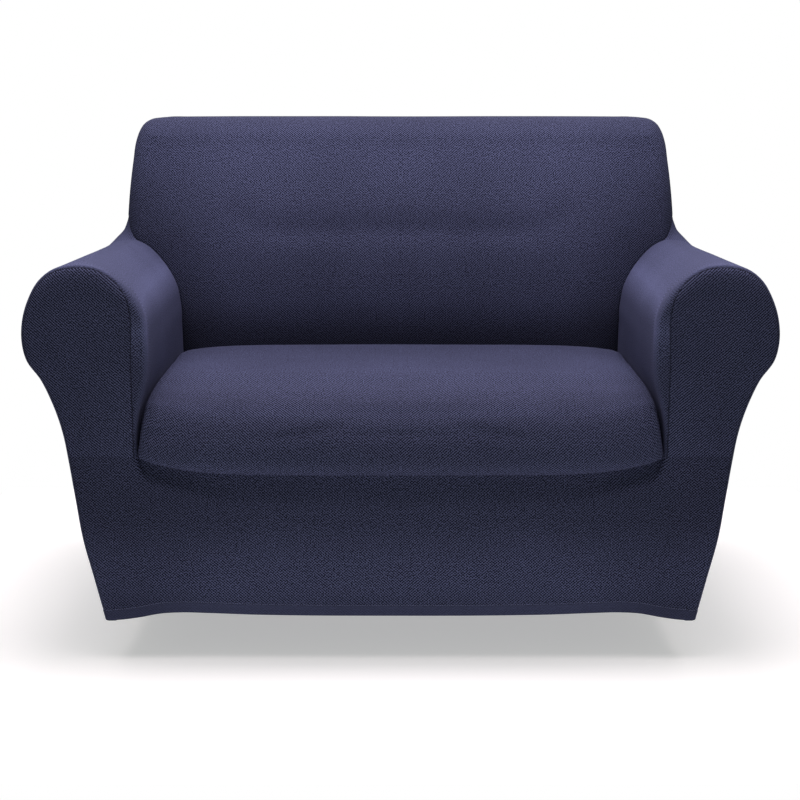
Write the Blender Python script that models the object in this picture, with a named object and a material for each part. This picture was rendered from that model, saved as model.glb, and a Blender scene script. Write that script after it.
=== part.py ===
"""Stretch-knit slipcover for a small sofa with rolled arms.

The cover is one hollow skin, in the shape that it takes when it is stretched over the sofa.
The +X half of the skin is worked out from the tables below as grids of points that share
their edges, and the other half mirrors it. The skin is then cut along its seams into
panels, and each panel is thickened inwards into a closed solid. A hem is part of its panel.

X runs across the sofa, Y from the front to the rear, and Z up from the hem's lowest point.
Depth is the distance behind the front face of the arms. All sizes are in metres.
"""
from types import SimpleNamespace

import bmesh
import bpy
import numpy as np

# ------------------------------------------------------------------ driving sizes
CLOTH = 0.002  # thickness of the knit
SEAM_GAP = 0.0003  # between the panels that a seam joins
SHARP_TURN = 0.3  # limits how far a seam's corner steps back
MERGE = 0.00002  # grid points closer than this are one point
COVER_DEPTH = 0.840  # from the front face of the arms to the outside back
FRONT_Y = -0.4083  # world Y of depth 0

# The seat from the crease under the cushion, up its front and back to the rear tuck.
# depth, z: along the middle.  end_depth, end_z: beside the arms.
# tuck_*: the seam in the tuck between the cushion and the arm.
SEAT_COLUMNS = ("depth", "z", "end_depth", "end_z", "tuck_depth", "tuck_z", "tuck_x")
SEAT_ROWS = (
    (0.008, 0.2630, 0.016, 0.2930, 0.018, 0.2947, 0.4550),  # crease under the cushion
    (-0.010, 0.2675, -0.002, 0.2955, 0.022, 0.3020, 0.4545),
    (-0.0225, 0.2850, -0.0075, 0.3060, 0.027, 0.3120, 0.4530),
    (-0.0235, 0.3060, -0.0080, 0.3200, 0.034, 0.3230, 0.4512),  # fullest part of the front
    (-0.0150, 0.3380, -0.0025, 0.3450, 0.043, 0.3330, 0.4495),
    (0.0000, 0.3640, 0.0060, 0.3670, 0.056, 0.3410, 0.4478),  # front edge of the cushion
    (0.0200, 0.3815, 0.0200, 0.3830, 0.080, 0.3460, 0.4465),
    (0.055, 0.3950, 0.050, 0.3930, 0.125, 0.3490, 0.4455),
    (0.130, 0.4070, 0.130, 0.4010, 0.190, 0.3500, 0.4450),
    (0.250, 0.4135, 0.250, 0.4040, 0.290, 0.3500, 0.4450),
    (0.400, 0.4160, 0.400, 0.4050, 0.410, 0.3500, 0.4450),
    (0.520, 0.4160, 0.510, 0.4040, 0.510, 0.3500, 0.4450),
    (0.562, 0.4085, 0.550, 0.3960, 0.555, 0.3500, 0.4450),
    (0.583, 0.3850, 0.578, 0.3760, 0.580, 0.3500, 0.4450),
    (0.590, 0.3500, 0.590, 0.3500, 0.590, 0.3500, 0.4450),  # rear tuck
)
SEAT_CREASE, SEAT_EDGE, SEAT_REAR, SEAT_TUCK = 0, 5, 12, 14
END_POWER = 6  # how late the seat turns from its middle shape to its end shape

# How the seat turns down into the tuck at each end.  across: 0 middle, 1 tuck seam.
# reach: share of the half width.  drop: 0 on the seat, 1 at the tuck seam.
END_COLUMNS = ("across", "reach", "drop")
END_ROWS = (
    (0.00, 0.000, 0.00),
    (0.45, 0.468, 0.00),
    (0.75, 0.790, 0.00),
    (0.88, 0.920, 0.00),
    (0.93, 0.966, 0.02),
    (0.96, 0.989, 0.12),
    (0.98, 0.998, 0.42),
    (1.00, 1.000, 1.00),
)

# The outline of the arm seen from the front, from the tuck up its inside, over the roll and
# down its outside to the hem.  back_*: the same places where the arm meets the inside back.
# edge: how far in the front face starts to turn.  seam: the front seam's distance in.
ARM_COLUMNS = ("x", "z", "back_x", "back_z", "edge", "seam")
ARM_ROWS = (
    (0.4550, 0.2947, 0.4450, 0.3500, 0.008, 0.005),  # foot
    (0.4515, 0.3700, 0.4465, 0.4010, 0.008, 0.009),
    (0.4375, 0.4300, 0.4482, 0.4500, 0.008, 0.024),
    (0.4348, 0.4980, 0.4502, 0.4920, 0.008, 0.025),
    (0.4400, 0.5410, 0.4590, 0.5322, 0.008, 0.020),
    (0.4567, 0.5751, 0.4800, 0.5684, 0.016, 0.011),  # inner shoulder of the roll
    (0.4814, 0.6006, 0.5070, 0.5985, 0.028, 0.005),
    (0.5180, 0.6225, 0.5370, 0.6165, 0.036, 0.004),  # where the side of the back stands
    (0.5567, 0.6260, 0.5600, 0.6170, 0.040, 0.004),
    (0.5920, 0.6180, 0.5915, 0.6100, 0.040, 0.004),
    (0.6140, 0.6010, 0.6130, 0.5960, 0.036, 0.004),
    (0.6346, 0.5666, 0.6336, 0.5630, 0.030, 0.004),  # outer shoulder of the roll
    (0.6466, 0.5239, 0.6466, 0.5239, 0.024, 0.004),
    (0.6478, 0.4982, 0.6478, 0.4982, 0.020, 0.004),
    (0.6408, 0.4637, 0.6408, 0.4637, 0.018, 0.004),
    (0.6172, 0.4291, 0.6172, 0.4291, 0.022, 0.004),  # the cloth leaves the post
    (0.6014, 0.3944, 0.6014, 0.3944, 0.034, 0.004),
    (0.5890, 0.3596, 0.5890, 0.3596, 0.022, 0.004),
    (0.5800, 0.3245, 0.5800, 0.3245, 0.011, 0.004),
    (0.5750, 0.2947, 0.5750, 0.2947, 0.008, 0.004),  # foot of the post
    (0.5646, 0.2186, 0.5646, 0.2186, 0.008, 0.004),
    (0.5547, 0.1473, 0.5547, 0.1473, 0.008, 0.004),
    (0.5379, 0.0753, 0.5379, 0.0753, 0.008, 0.004),
    (0.5200, 0.0000, 0.5200, 0.0000, 0.008, 0.004),  # hem
)
ARM_FOOT, ARM_INNER, ARM_RIDGE, ARM_OUTER, ARM_POST, ARM_HEM = 0, 5, 7, 11, 19, 23
FOOT_PULL = 0.135  # length of the arm's inside that follows the tuck
EDGE_DEPTH = 0.014  # depth of the turn from the front face to the arm's side
CORE_MARGIN = 0.010  # flat cloth between the front seam or edge and the front face's grid
PILLOW = 0.004  # how far the middle of the front face stands out

# The upright back: the outline of its sides and crest.  turn: radius of its front edge.
BACK_COLUMNS = ("x", "z", "turn")
BACK_ROWS = (
    (0.5660, 0.5900, 0.030),
    (0.5650, 0.6600, 0.030),
    (0.5625, 0.7000, 0.030),
    (0.5590, 0.7365, 0.030),
    (0.5535, 0.7800, 0.031),
    (0.5480, 0.8187, 0.033),
    (0.5410, 0.8400, 0.036),  # middle of the rounded top corner
    (0.5325, 0.8540, 0.040),
    (0.5190, 0.8628, 0.043),
    (0.4980, 0.8665, 0.045),
    (0.4550, 0.8673, 0.045),
    (0.4200, 0.8675, 0.045),
    (0.0000, 0.8675, 0.045),
)
BACK_CORNER = 6
BACK_LEAN = 0.176  # depth gained for each metre of height
BACK_CROWN = 0.033  # how far the inside back bulges forward
CROWN_REACH = 0.55  # half-width over which it bulges
BACK_TOP = 0.8675
DIP = SimpleNamespace(z=0.642, half_height=0.034, depth=0.004, inner_x=0.15, outer_x=0.40)
RIDGE_RISE = 0.050  # the arm's cloth climbs this far round the side of the back
FILLET = 0.130  # length of arm cloth that is pulled up by it
REAR_TURN = 0.012  # radius of the rear edges

# The hem is pulled down at the four corners.  corner: distance from a corner along the hem.
HEM_COLUMNS = ("corner", "lift")
HEM_ROWS = (
    (0.000, 0.0000),
    (0.030, 0.0022),
    (0.058, 0.0062),
    (0.095, 0.0130),
    (0.130, 0.0150),
    (0.180, 0.0138),
    (0.250, 0.0112),
    (0.340, 0.0097),
    (0.540, 0.0090),
)
HEM_FADE = 0.16  # height over which the hem's waves die out
HEM_LEVEL = 0.10  # below this height the turn of the front corner becomes level
STEP = SimpleNamespace(depth=0.002, half_height=0.015, inner_x=0.50, outer_x=0.56)
# The front's hem is pulled in this far under the sofa, fading upwards and along the sides.
LEAN = SimpleNamespace(depth=0.012, fade=0.25)
SKIRT_SPREAD = 0.6  # share of the skirt's drop over which its columns become even
CREASE_FADE = 0.25  # share of the skirt's drop over which the crease dies out

# How many grid steps each stretch is cut into.
SEAT_STEPS = (4, 6, 2)  # front, top, rear
ARM_STEPS = (7, 2, 4, 7, 5)  # inside, inner roll, outer roll, under the roll, skirt
TUCK_ACROSS = (1.0, 0.955, 0.925, 0.88)  # columns from the tuck seam to the seat
SEAT_COLUMNS_ACROSS = 9
RING_STEPS = 2
WRAP_STEPS = 4
BACK_SIDE_STEPS = 5
TURN_STEPS = 3
FLAT_STEPS = 3
EDGE_SAMPLES = 25  # points on the rounded edge that lengths are measured along
SIDE_SAMPLES = 200  # points on the back's side that heights are looked up in
NUDGE = 0.001  # step along an outline for reading its direction

NAVY = (0.030, 0.034, 0.075, 1.0)


# ------------------------------------------------------------------ helpers
class Curve:
    """A smooth curve through the rows of a table, read at a distance along it."""

    def __init__(self, columns, rows, along):
        self.columns = columns
        self.rows = np.array(rows, dtype=float)
        places = self.rows[:, [columns.index(name) for name in along]]
        steps = np.linalg.norm(np.diff(places, axis=0), axis=1)
        self.knots = np.concatenate(([0.0], np.cumsum(steps)))
        slopes = np.diff(self.rows, axis=0) / steps[:, None]
        before = steps[:-1, None]
        after = steps[1:, None]
        middle = (after * slopes[:-1] + before * slopes[1:]) / (before + after)
        self.slopes = np.vstack((slopes[:1], middle, slopes[-1:]))

    def read(self, place):
        """The value of every column at the given distances."""
        place = np.asarray(place, dtype=float)
        last = len(self.knots) - 2
        k = np.clip(np.searchsorted(self.knots, place, side="right") - 1, 0, last)
        step = (self.knots[k + 1] - self.knots[k])[..., None]
        t = (place - self.knots[k])[..., None] / step
        values = (
            (2 * t**3 - 3 * t**2 + 1) * self.rows[k]
            + (t**3 - 2 * t**2 + t) * step * self.slopes[k]
            + (3 * t**2 - 2 * t**3) * self.rows[k + 1]
            + (t**3 - t**2) * step * self.slopes[k + 1]
        )
        return SimpleNamespace(**dict(zip(self.columns, np.moveaxis(values, -1, 0))))

    def stations(self, rows, steps):
        """Distances that split each stretch between two rows into even steps."""
        stretches = zip(rows, rows[1:], steps)
        parts = [np.linspace(self.knots[a], self.knots[b], n + 1)[:-1] for a, b, n in stretches]
        return np.concatenate(parts + [self.knots[[rows[-1]]]])


def mix(a, b, share):
    return a + (b - a) * share


def smooth(value, start, end):
    """0 before start, 1 after end, and an S-curve between them."""
    t = np.clip((value - start) / (end - start), 0.0, 1.0)
    return t * t * (3 - 2 * t)


def points(x, depth, z):
    """World points from half-width, depth and height."""
    x, depth, z = np.broadcast_arrays(x, depth, z)
    return np.stack((x, FRONT_Y + depth, z), axis=-1)


def pulled_in(grid):
    """The same grid with its front leaning back below the arm fronts, towards the hem."""
    depth = grid[..., 1] - FRONT_Y
    low = np.clip(1 - grid[..., 2] / ARM_ROWS[ARM_POST][1], 0, 1)
    leaned = grid.copy()
    leaned[..., 1] += LEAN.depth * low * (1 - smooth(depth, 0, LEAN.fade))
    return leaned


def outward(outline, turn):
    """Unit normals of an (x, z) outline; turn is +1 where it runs clockwise, seen in front."""
    along = np.gradient(outline, axis=0)
    normal = np.stack((-along[:, 1], along[:, 0]), axis=-1) * turn
    return normal / np.linalg.norm(normal, axis=1, keepdims=True)


def coons(bottom, top, left, right):
    """A grid of points that fills four edges; rows run from bottom to top."""
    s = np.linspace(0, 1, len(bottom))[None, :, None]
    t = np.linspace(0, 1, len(left))[:, None, None]
    ruled_up = mix(bottom[None], top[None], t)
    ruled_across = mix(left[:, None], right[:, None], s)
    corners = mix(mix(bottom[0], bottom[-1], s), mix(top[0], top[-1], s), t)
    return ruled_up + ruled_across - corners


SEAT = Curve(SEAT_COLUMNS, SEAT_ROWS, ("depth", "z"))
SEAT_END = Curve(END_COLUMNS, END_ROWS, ("across",))
ARM = Curve(ARM_COLUMNS, ARM_ROWS, ("x", "z"))
BACK = Curve(BACK_COLUMNS, BACK_ROWS, ("x", "z"))
HEM = Curve(HEM_COLUMNS, HEM_ROWS, ("corner",))

seat_places = SEAT.stations((SEAT_CREASE, SEAT_EDGE, SEAT_REAR, SEAT_TUCK), SEAT_STEPS)
arm_places = ARM.stations((ARM_FOOT, ARM_INNER, ARM_RIDGE, ARM_OUTER, ARM_POST, ARM_HEM), ARM_STEPS)
seat_across = np.concatenate((TUCK_ACROSS, np.linspace(TUCK_ACROSS[-1], 0, SEAT_COLUMNS_ACROSS + 1)[1:]))
even_across = np.linspace(1, 0, len(seat_across))
inner_row, ridge_row, outer_row, post_row, hem_row = np.cumsum(ARM_STEPS)


def hem_lift(corner_distance, z):
    """How far the hem's waves lift the cloth at height z."""
    reach = HEM_ROWS[-1][0]
    lift = HEM.read(np.clip(corner_distance, 0, reach)).lift
    return lift * (1 - smooth(z, 0, HEM_FADE))


def side_points(x, depth, z):
    """Points of the arm's outside, with the hem lifted between its two corners."""
    return points(x, depth, z + hem_lift(np.minimum(depth, COVER_DEPTH - depth), z))


def front_step(x, z):
    """Depth of the soft step where the arm front and the cushion meet the skirt."""
    near_seam = np.exp(-(((z - ARM_ROWS[ARM_POST][1]) / STEP.half_height) ** 2))
    return STEP.depth * near_seam * (1 - smooth(np.abs(x), STEP.inner_x, STEP.outer_x))


def back_depth(x, z):
    """Depth of the inside back's face."""
    tuck = SEAT_ROWS[SEAT_TUCK]
    lean = tuck[0] + (z - tuck[1]) * BACK_LEAN
    height = np.clip((z - tuck[1]) / (BACK_TOP - tuck[1]), 0, 1)
    crown = BACK_CROWN * np.sin(np.pi * height) * (1 - np.clip(np.abs(x) / CROWN_REACH, 0, 1) ** 4)
    across = 1 - smooth(np.abs(x), DIP.inner_x, DIP.outer_x)
    dip = DIP.depth * np.exp(-(((z - DIP.z) / DIP.half_height) ** 2)) * across
    return lean - crown + dip


# ------------------------------------------------------------------ the seat
def seat_grid():
    """Rows from the crease to the rear tuck; columns from the tuck seam to the middle."""
    row = SEAT.read(seat_places[:, None])
    end = SEAT_END.read(seat_across[None, :])
    to_end = end.reach**END_POWER
    depth = mix(mix(row.depth, row.end_depth, to_end), row.tuck_depth, end.drop)
    z = mix(mix(row.z, row.end_z, to_end), row.tuck_z, end.drop)
    return points(row.tuck_x * end.reach, depth, z)


# ------------------------------------------------------------------ the arm
def arm_sections():
    """The arm's outline at each depth station of the tuck: x, depth and z by row and station."""
    row = ARM.read(arm_places[:, None])
    tuck = SEAT.read(seat_places[None, :])
    first = tuck.tuck_depth[:, :1]
    last = tuck.tuck_depth[:, -1:]
    share = (tuck.tuck_depth - first) / (last - first)
    x = mix(row.x, row.back_x, share)
    z = mix(row.z, row.back_z, share)
    pull = np.clip(1 - arm_places[:, None] / FOOT_PULL, 0, 1) ** 2
    x = x + pull * (tuck.tuck_x - x[:1])
    z = z + pull * (tuck.tuck_z - z[:1])
    ridge = np.minimum(np.arange(len(arm_places)), ridge_row)
    meet = back_depth(x[ridge, -1], z[ridge, -1])[:, None]
    depth = tuck.tuck_depth + share**3 * (meet - last)
    return x, depth, z


def edge_walk(edge, seam):
    """Insets and depths across the arm's front edge: those in front of the seam, then behind."""
    core = max(edge, seam) + CORE_MARGIN
    turn = np.linspace(0, np.pi / 2, EDGE_SAMPLES)
    insets = np.concatenate(([core], edge * (1 - np.sin(turn)), [0.0]))
    wrap_end = SEAT_ROWS[SEAT_CREASE][4]
    depths = np.concatenate(([0.0], EDGE_DEPTH * (1 - np.cos(turn)), [wrap_end]))
    lengths = np.concatenate(([0.0], np.cumsum(np.hypot(np.diff(insets), np.diff(depths)))))
    to_seam = np.interp(-seam, -insets, lengths)
    front = np.linspace(0, to_seam, RING_STEPS + 1)
    behind = np.linspace(to_seam, lengths[-1], WRAP_STEPS + 1)
    reads = [(np.interp(at, lengths, insets), np.interp(at, lengths, depths)) for at in (front, behind)]
    return reads[0], reads[1]


def arm_front_edges():
    """Grids across the arm's front edge: the ring of the front face and the wrap behind its seam."""
    row = ARM.read(arm_places)
    lift = hem_lift(0.0, row.z)
    outline = np.stack((row.x, row.z + lift), axis=-1)
    level = 1 - smooth(row.z, 0, HEM_LEVEL)
    normals = mix(outward(outline, 1), np.array((1.0, 0.0)), level[:, None])
    ring = []
    wrap = []
    for place, normal, edge, seam in zip(outline, normals, row.edge, row.seam):
        for grid, (inset, depth) in zip((ring, wrap), edge_walk(edge, seam)):
            x = place[0] - normal[0] * inset
            z = place[1] - normal[1] * inset
            on_face = 1 - smooth(depth, 0, EDGE_DEPTH)
            grid.append(points(x, depth + on_face * front_step(x, z), z))
    return np.array(ring), np.array(wrap)


def arm_front_core(ring):
    """The flat middle of the arm front, from the ring's inner edge."""
    inner = ring[:, 0]
    left = inner[: inner_row + 1]
    top = inner[inner_row : outer_row + 1]
    right = inner[outer_row : post_row + 1][::-1]
    across = np.linspace(0, 1, len(top))[:, None]
    bottom = mix(left[0], right[0], across)
    bottom[:, 1] = FRONT_Y + front_step(bottom[:, 0], bottom[:, 2])
    grid = coons(bottom, top, left, right)
    s = np.linspace(0, 1, grid.shape[1])[None, :]
    t = np.linspace(0, 1, grid.shape[0])[:, None]
    grid[:, :, 1] -= PILLOW * np.sqrt(16 * s * (1 - s) * t * (1 - t))
    return grid


# ------------------------------------------------------------------ the upright back
def back_outline():
    """Places along the back's outline from its side's foot to the middle of the crest."""
    corner = BACK.knots[BACK_CORNER]
    top = np.linspace(corner, BACK.knots[-1], len(seat_across))
    heights = BACK.read(np.linspace(0, corner, SIDE_SAMPLES)).z
    return corner, top, heights


def back_rim():
    """The hood's rim: rows up the side and along the crest; columns from front to rear seam."""
    corner, top, heights = back_outline()
    side_share = np.linspace(0, 1, BACK_SIDE_STEPS + 1)
    foot_z = ARM_ROWS[ARM_RIDGE][3]
    angles = np.linspace(0, np.pi / 2, TURN_STEPS + 1)
    flat = np.linspace(0, 1, FLAT_STEPS + 1)[1:]
    columns = [(angle, 0.0) for angle in angles] + [(np.pi / 2, share) for share in flat]
    grid = []
    for angle, share in columns:
        low = foot_z + RIDGE_RISE * np.sin(angle) ** 2
        side_z = mix(low, heights[-1], side_share)
        side = np.interp(side_z, heights, np.linspace(0, corner, len(heights)))
        places = np.concatenate((side, top[1:]))
        row = BACK.read(places)
        ahead = BACK.read(np.minimum(places + NUDGE, BACK.knots[-1]))
        behind = BACK.read(np.maximum(places - NUDGE, 0))
        along = np.stack((ahead.x - behind.x, ahead.z - behind.z), axis=-1)
        along /= np.linalg.norm(along, axis=1, keepdims=True)
        normal_x = along[:, 1]
        normal_z = -along[:, 0]
        face_x = row.x - normal_x * row.turn
        face_z = row.z - normal_z * row.turn
        inset = row.turn * (1 - np.sin(angle))
        face = back_depth(face_x, face_z)
        slope = (back_depth(face_x + normal_x * NUDGE, face_z + normal_z * NUDGE) - face) / NUDGE
        turned = face + row.turn * (1 - np.cos(angle) + slope * np.sin(angle))
        depth = mix(turned, COVER_DEPTH - REAR_TURN, share)
        grid.append(points(row.x - normal_x * inset, depth, row.z - normal_z * inset))
    return np.array(grid).swapaxes(0, 1)


def inside_back_face(crease, rim):
    """The face of the inside back; rows from the tuck to the crest, columns from end to middle."""
    side = rim[1 : BACK_SIDE_STEPS + 1, 0]
    ends = np.concatenate((crease, side))
    crest = rim[BACK_SIDE_STEPS:, 0]
    rows = []
    for number, end in enumerate(ends):
        settle = smooth(number, 0, ridge_row)
        reach = mix(SEAT_END.read(seat_across).reach, even_across, settle)
        rise = max(0.0, (number - ridge_row) / BACK_SIDE_STEPS) ** 2
        x = end[0] * reach + (crest[:, 0] - crest[0, 0] * reach) * rise
        z = end[2] + (crest[:, 2] - crest[0, 2]) * rise
        rows.append(points(x, back_depth(x, z), z))
    return np.array(rows)


def arm_behind_ridge(sections, rim):
    """The outer arm beside the upright back; rows from the ridge to the hem."""
    x = sections[0][ridge_row:, -1:]
    z = sections[2][ridge_row:, -1:]
    foot = rim[0]
    away = arm_places[ridge_row:, None] - arm_places[ridge_row]
    hold = np.clip(1 - away / FILLET, 0, 1) ** 3
    hold[0] = 1.0
    depth = foot[None, :, 1] - FRONT_Y
    return side_points(x + hold * (foot[:, 0] - x[0]), depth, z + hold * (foot[:, 2] - z[0]))


def rear_edge(outer_arm, rim):
    """The turn into the outside back, along the whole rear outline from the hem to the crest."""
    outline = np.concatenate((outer_arm[::-1, -1], rim[1:, -1]))[:, [0, 2]]
    normals = outward(outline, -1)
    normals[-1] = (0.0, 1.0)
    grid = []
    for angle in (0, np.pi / 4, np.pi / 2):
        inset = REAR_TURN * (1 - np.cos(angle))
        depth = COVER_DEPTH - REAR_TURN * (1 - np.sin(angle))
        turned = outline - normals * inset
        grid.append(points(turned[:, 0], depth, turned[:, 1]))
    return np.array(grid).swapaxes(0, 1)


def outside_back_face(edge):
    """The flat outside back; rows from the hem to the crest, columns from end to middle."""
    side_rows = len(edge) - len(seat_across) + 1
    ends = edge[:side_rows, -1]
    crest = edge[side_rows - 1 :, -1]
    flat_rows = side_rows - 1 - BACK_SIDE_STEPS
    rows = []
    for number, end in enumerate(ends):
        rise = max(0.0, (number - flat_rows) / BACK_SIDE_STEPS) ** 2
        x = end[0] * even_across + (crest[:, 0] - crest[0, 0] * even_across) * rise
        wave = hem_lift(REAR_TURN + end[0] - x, end[2]) - hem_lift(REAR_TURN, end[2])
        z = end[2] + wave + (crest[:, 2] - crest[0, 2]) * rise
        rows.append(points(x, COVER_DEPTH, z))
    return np.array(rows)


# ------------------------------------------------------------------ the skirt
def skirt_grid(ring, core, wrap, seat):
    """The front band; rows from the crease to the hem, columns from the corner to the middle."""
    top = np.concatenate(
        (
            ring[post_row, ::-1],
            core[0, ::-1][1:],
            ring[0, 1:],
            wrap[0, 1:],
            seat[0, 1:],
        )
    )
    corner = ring[post_row:, ::-1]
    inner = top[RING_STEPS:]
    even = np.linspace(1, 0, len(inner))
    rows = []
    for number, edge in enumerate(corner):
        end = edge[-1]
        fall = (top[0, 2] - edge[0, 2]) / (top[0, 2] - corner[-1, 0, 2])
        reach = mix(inner[:, 0] / inner[0, 0], even, smooth(fall, 0, SKIRT_SPREAD))
        x = end[0] * reach
        hem_z = hem_lift(corner[-1, 0, 0] - x, 0.0)
        z = mix(inner[:, 2], hem_z, fall)
        depth = (inner[:, 1] - FRONT_Y) * (1 - smooth(fall, 0, CREASE_FADE))
        z[0] = end[2]
        rows.append(np.concatenate((edge[:-1], points(x, depth, z))))
    rows[0] = top
    return np.array(rows)


# ------------------------------------------------------------------ the skin and its panels
def mirrored(name):
    return name.replace("right", "left")


def build_skin(patches):
    """One mesh of the whole cover, with the number of its panel on every face."""
    skin = bmesh.new()
    panel_of = skin.faces.layers.int.new("panel")
    names = []
    for name, grid in patches:
        for side, panel in ((1, name), (-1, mirrored(name))):
            if panel not in names:
                names.append(panel)
            grid_side = pulled_in(grid) * (side, 1, 1)
            verts = [[skin.verts.new(place) for place in row] for row in grid_side]
            for low, high in zip(verts, verts[1:]):
                for a, b, c, d in zip(low, low[1:], high[1:], high):
                    corners = (d, c, b, a) if side > 0 else (a, b, c, d)
                    skin.faces.new(corners)[panel_of] = names.index(panel)
    bmesh.ops.remove_doubles(skin, verts=skin.verts, dist=MERGE)
    bmesh.ops.triangulate(skin, faces=skin.faces, quad_method="SHORT_EDGE")
    skin.normal_update()
    skin.verts.index_update()
    return skin, panel_of, names


def into_panel(edge, face):
    """Unit vector in the face, from the edge towards the panel."""
    a, b = (vert.co for vert in edge.verts)
    across = face.normal.cross(b - a).normalized()
    towards = face.calc_center_median() - a
    return across if across.dot(towards) > 0 else -across


def seam_shifts(faces, panel_of, number):
    """How far each vertex on a seam steps back from it, so that half the gap is left."""
    directions = {}
    for face in faces:
        for edge in face.edges:
            others = [f for f in edge.link_faces if f[panel_of] != number]
            if not others:
                continue
            for vert in edge.verts:
                directions.setdefault(vert, []).append(into_panel(edge, face))
    shifts = {}
    for vert, ways in directions.items():
        total = ways[0].copy()
        for way in ways[1:]:
            total += way
        mean = total / len(ways)
        shifts[vert] = mean * (SEAM_GAP / 2 / max(mean.length_squared, SHARP_TURN))
    return shifts


def cut_panel(skin, panel_of, number, name):
    """A closed solid of one panel, thickened inwards along the normals of the whole skin."""
    faces = [face for face in skin.faces if face[panel_of] == number]
    shifts = seam_shifts(faces, panel_of, number)
    solid = bmesh.new()
    outer = {}
    inner = {}
    for face in faces:
        for vert in face.verts:
            if vert in outer:
                continue
            place = vert.co + shifts[vert] if vert in shifts else vert.co.copy()
            outer[vert] = solid.verts.new(place)
            inner[vert] = solid.verts.new(place - vert.normal * CLOTH)
    for face in faces:
        solid.faces.new([outer[vert] for vert in face.verts])
        solid.faces.new([inner[vert] for vert in reversed(face.verts)])
        for loop in face.loops:
            same = [f for f in loop.edge.link_faces if f[panel_of] == number]
            if len(same) > 1:
                continue
            a = loop.vert
            b = loop.link_loop_next.vert
            rim = (outer[b], outer[a], inner[a], inner[b])
            if a.index > b.index:
                rim = rim[1:] + rim[:1]
            solid.faces.new(rim[:3])
            solid.faces.new((rim[0], rim[2], rim[3]))
    mesh = bpy.data.meshes.new(name)
    solid.to_mesh(mesh)
    solid.free()
    return mesh


def knit_material(name):
    material = bpy.data.materials.new(name)
    material.use_nodes = True
    shader = material.node_tree.nodes["Principled BSDF"]
    shader.inputs["Base Color"].default_value = NAVY
    shader.inputs["Roughness"].default_value = 0.9
    shader.inputs["Metallic"].default_value = 0.0
    return material


def half_cover():
    """Every patch of the +X half, with the name of the panel that it belongs to."""
    seat = seat_grid()
    sections = arm_sections()
    ring, wrap = arm_front_edges()
    core = arm_front_core(ring)
    arm = side_points(*sections)
    rim = back_rim()
    rim[0, 0] = arm[ridge_row, -1]
    face = inside_back_face(arm[: ridge_row + 1, -1], rim)
    outer_arm = arm_behind_ridge(sections, rim)
    rear = rear_edge(outer_arm, rim)
    outer_rows = len(outer_arm)
    return (
        ("seat_panel", seat),
        ("arm_panel_right", np.concatenate((wrap[:, :-1], arm), axis=1)),
        ("arm_panel_right", outer_arm),
        ("arm_panel_right", rear[:outer_rows, :2][::-1]),
        ("arm_front_right", ring[: post_row + 1]),
        ("arm_front_right", core[:, ::-1]),
        ("front_skirt", skirt_grid(ring, core, wrap, seat)[:, ::-1]),
        ("inside_back", face),
        ("inside_back", rim[:, ::-1]),
        ("inside_back", rear[outer_rows - 1 :, :2][:, ::-1]),
        ("outside_back", rear[:, 1:][:, ::-1]),
        ("outside_back", outside_back_face(rear)[:, ::-1]),
    )


def build():
    for item in list(bpy.data.objects):
        bpy.data.objects.remove(item)
    collection = bpy.data.collections.new("sofa_slipcover")
    bpy.context.scene.collection.children.link(collection)
    skin, panel_of, names = build_skin(half_cover())
    for number, name in enumerate(names):
        mesh = cut_panel(skin, panel_of, number, name)
        mesh.materials.append(knit_material(name + "_knit"))
        mesh.shade_smooth()
        collection.objects.link(bpy.data.objects.new(name, mesh))
    skin.free()


build()
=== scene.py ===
"""Stretch-knit slipcover for a small sofa with rolled arms: the finished look of its panels.

Metres, +Z up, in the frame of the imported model. Depth is the distance behind the front face
of the arms. The +X half of each panel is worked out as grids of points, the other half
mirrors it, and the cloth keeps its own coordinates, in metres, for the knit.
"""
import math
from types import SimpleNamespace

import bmesh
import bpy
import numpy as np
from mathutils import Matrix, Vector, kdtree, noise


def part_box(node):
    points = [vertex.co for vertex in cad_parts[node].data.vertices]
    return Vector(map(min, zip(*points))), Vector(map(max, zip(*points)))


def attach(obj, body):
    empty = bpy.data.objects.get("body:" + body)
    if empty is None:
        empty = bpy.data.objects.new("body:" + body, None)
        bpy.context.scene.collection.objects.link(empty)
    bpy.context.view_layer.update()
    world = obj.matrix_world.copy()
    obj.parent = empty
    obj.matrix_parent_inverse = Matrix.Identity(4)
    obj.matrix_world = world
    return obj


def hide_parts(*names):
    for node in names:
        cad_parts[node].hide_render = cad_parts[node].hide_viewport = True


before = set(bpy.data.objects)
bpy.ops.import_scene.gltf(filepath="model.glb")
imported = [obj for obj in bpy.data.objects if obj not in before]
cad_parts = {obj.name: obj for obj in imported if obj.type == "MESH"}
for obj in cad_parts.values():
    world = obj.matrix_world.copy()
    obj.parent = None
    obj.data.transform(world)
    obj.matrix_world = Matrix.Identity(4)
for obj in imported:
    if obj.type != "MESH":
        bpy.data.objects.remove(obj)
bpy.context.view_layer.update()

# ---------------------------------------------------------------- the seat panel
# The top and the front of the seat cushion, cut in one from a stretch knit. Its front edge
# is sewn into the crease under the cushion, and its other edges turn down into the tucks
# beside the arms and behind the seat.
COVER_DEPTH = 0.840
FRONT_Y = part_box("outside_back")[1].y - COVER_DEPTH
CLOTH = 0.0018  # thickness
MERGE = 0.00002  # points closer than this become one
FAR = 1.0  # stands for the height above a hem of cloth that has none

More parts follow.
